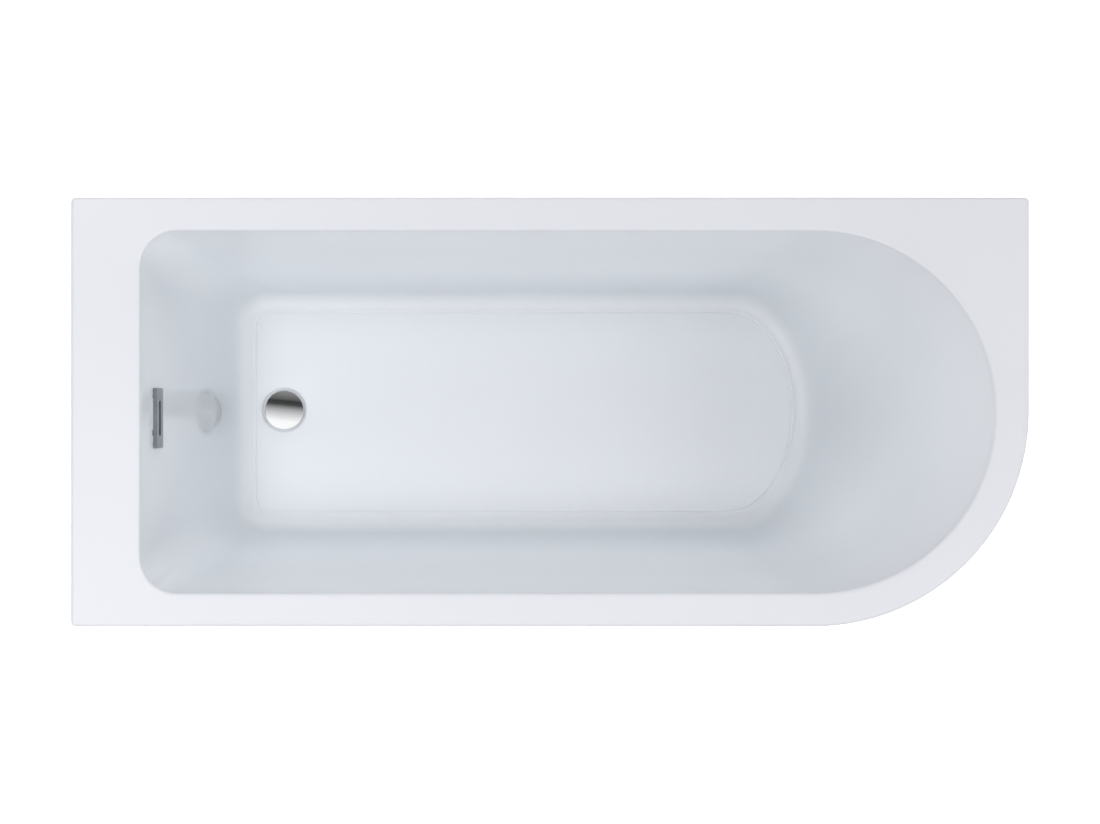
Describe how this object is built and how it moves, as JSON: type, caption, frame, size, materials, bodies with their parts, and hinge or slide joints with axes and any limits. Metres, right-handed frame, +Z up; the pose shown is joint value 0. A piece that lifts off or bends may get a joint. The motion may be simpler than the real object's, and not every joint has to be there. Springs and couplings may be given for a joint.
{
  "type": "corner bath",
  "caption": "Back-to-wall corner bath with a round free corner, moulded basin, sloping backrest, pop-up waste, overflow, trap, adjustable feet and wrap-round panel.",
  "frame": {"origin": "on the floor, under the centre of the rim's outline", "axes": "+X along the bath from the waste end to the backrest, +Y across it towards the long wall, +Z up"},
  "size_m": [1.675, 0.75, 0.56],
  "materials": {
    "acrylic": "cool white, high gloss",
    "fibreglass": "rough laminate, off-white",
    "chipboard": "raw particle board",
    "timber": "sawn softwood",
    "galvanised_steel": "galvanised sheet",
    "zinc_steel": "bright zinc plate",
    "foot_plastic": "black moulded plastic",
    "chrome": "polished chrome plate",
    "chromed_brass": "chromed brass",
    "brass": "turned brass",
    "spring_steel": "spring wire",
    "rubber": "black rubber",
    "white_plastic": "moulded white plastic",
    "hose_plastic": "ribbed white hose"
  },
  "bodies": {
    "bath": {"tub_shell": "acrylic", "fibreglass_backing": "fibreglass", "base_board": "chipboard", "rim_battens": "timber", "leg_bar_waste_end": "galvanised_steel", "leg_bar_backrest_end": "galvanised_steel", "leg_bar_screws": "zinc_steel", "foot_lock_nuts": "zinc_steel", "panel_stays": "galvanised_steel", "stay_screws": "zinc_steel", "front_panel": "acrylic", "panel_screws": "zinc_steel", "wall_brackets": "galvanised_steel", "bracket_screws": "zinc_steel", "plug_cartridge": "brass", "plug_spring": "spring_steel", "waste_flange": "chromed_brass", "waste_top_gasket": "rubber", "waste_lower_gasket": "rubber", "overflow_collar": "white_plastic", "waste_backnut": "white_plastic", "overflow_cover": "chrome", "overflow_gasket": "rubber", "overflow_body": "white_plastic", "overflow_screws": "zinc_steel", "overflow_hose": "hose_plastic", "hose_clips": "zinc_steel", "trap_inlet_nut": "white_plastic", "trap_inlet_washer": "rubber", "trap_bend": "white_plastic", "trap_union_nut": "white_plastic", "trap_union_washer": "rubber"},
    "plug": {"waste_cap": "chrome", "plug_stem": "brass", "plug_seal": "rubber"},
    "foot_front_waste": {"foot_stud_front_waste": "zinc_steel", "foot_pad_front_waste": "foot_plastic"},
    "foot_back_waste": {"foot_stud_back_waste": "zinc_steel", "foot_pad_back_waste": "foot_plastic"},
    "foot_front_backrest": {"foot_stud_front_backrest": "zinc_steel", "foot_pad_front_backrest": "foot_plastic"},
    "foot_back_backrest": {"foot_stud_back_backrest": "zinc_steel", "foot_pad_back_backrest": "foot_plastic"},
    "trap_outlet": {"trap_outlet_elbow": "white_plastic", "trap_outlet_nut": "white_plastic", "trap_outlet_seal": "rubber"}
  },
  "joints": [
    {"name": "plug_press", "type": "slide", "parent": "bath", "child": "plug", "axis": [0, 0, 1], "range_m": [0, 0.009], "deforming": ["plug_spring"]},
    {"name": "foot_screw_front_waste", "type": "slide", "parent": "bath", "child": "foot_front_waste", "axis": [0, 0, -1], "range_m": [0, 0.035]},
    {"name": "foot_screw_back_waste", "type": "slide", "parent": "bath", "child": "foot_back_waste", "axis": [0, 0, -1], "range_m": [0, 0.035]},
    {"name": "foot_screw_front_backrest", "type": "slide", "parent": "bath", "child": "foot_front_backrest", "axis": [0, 0, -1], "range_m": [0, 0.035]},
    {"name": "foot_screw_back_backrest", "type": "slide", "parent": "bath", "child": "foot_back_backrest", "axis": [0, 0, -1], "range_m": [0, 0.035]},
    {"name": "trap_swivel", "type": "hinge", "parent": "bath", "child": "trap_outlet", "pos_m": [-0.508, 0.068, 0.094], "axis": [0, 0, 1], "range_deg": [-60, 60]}
  ]
}
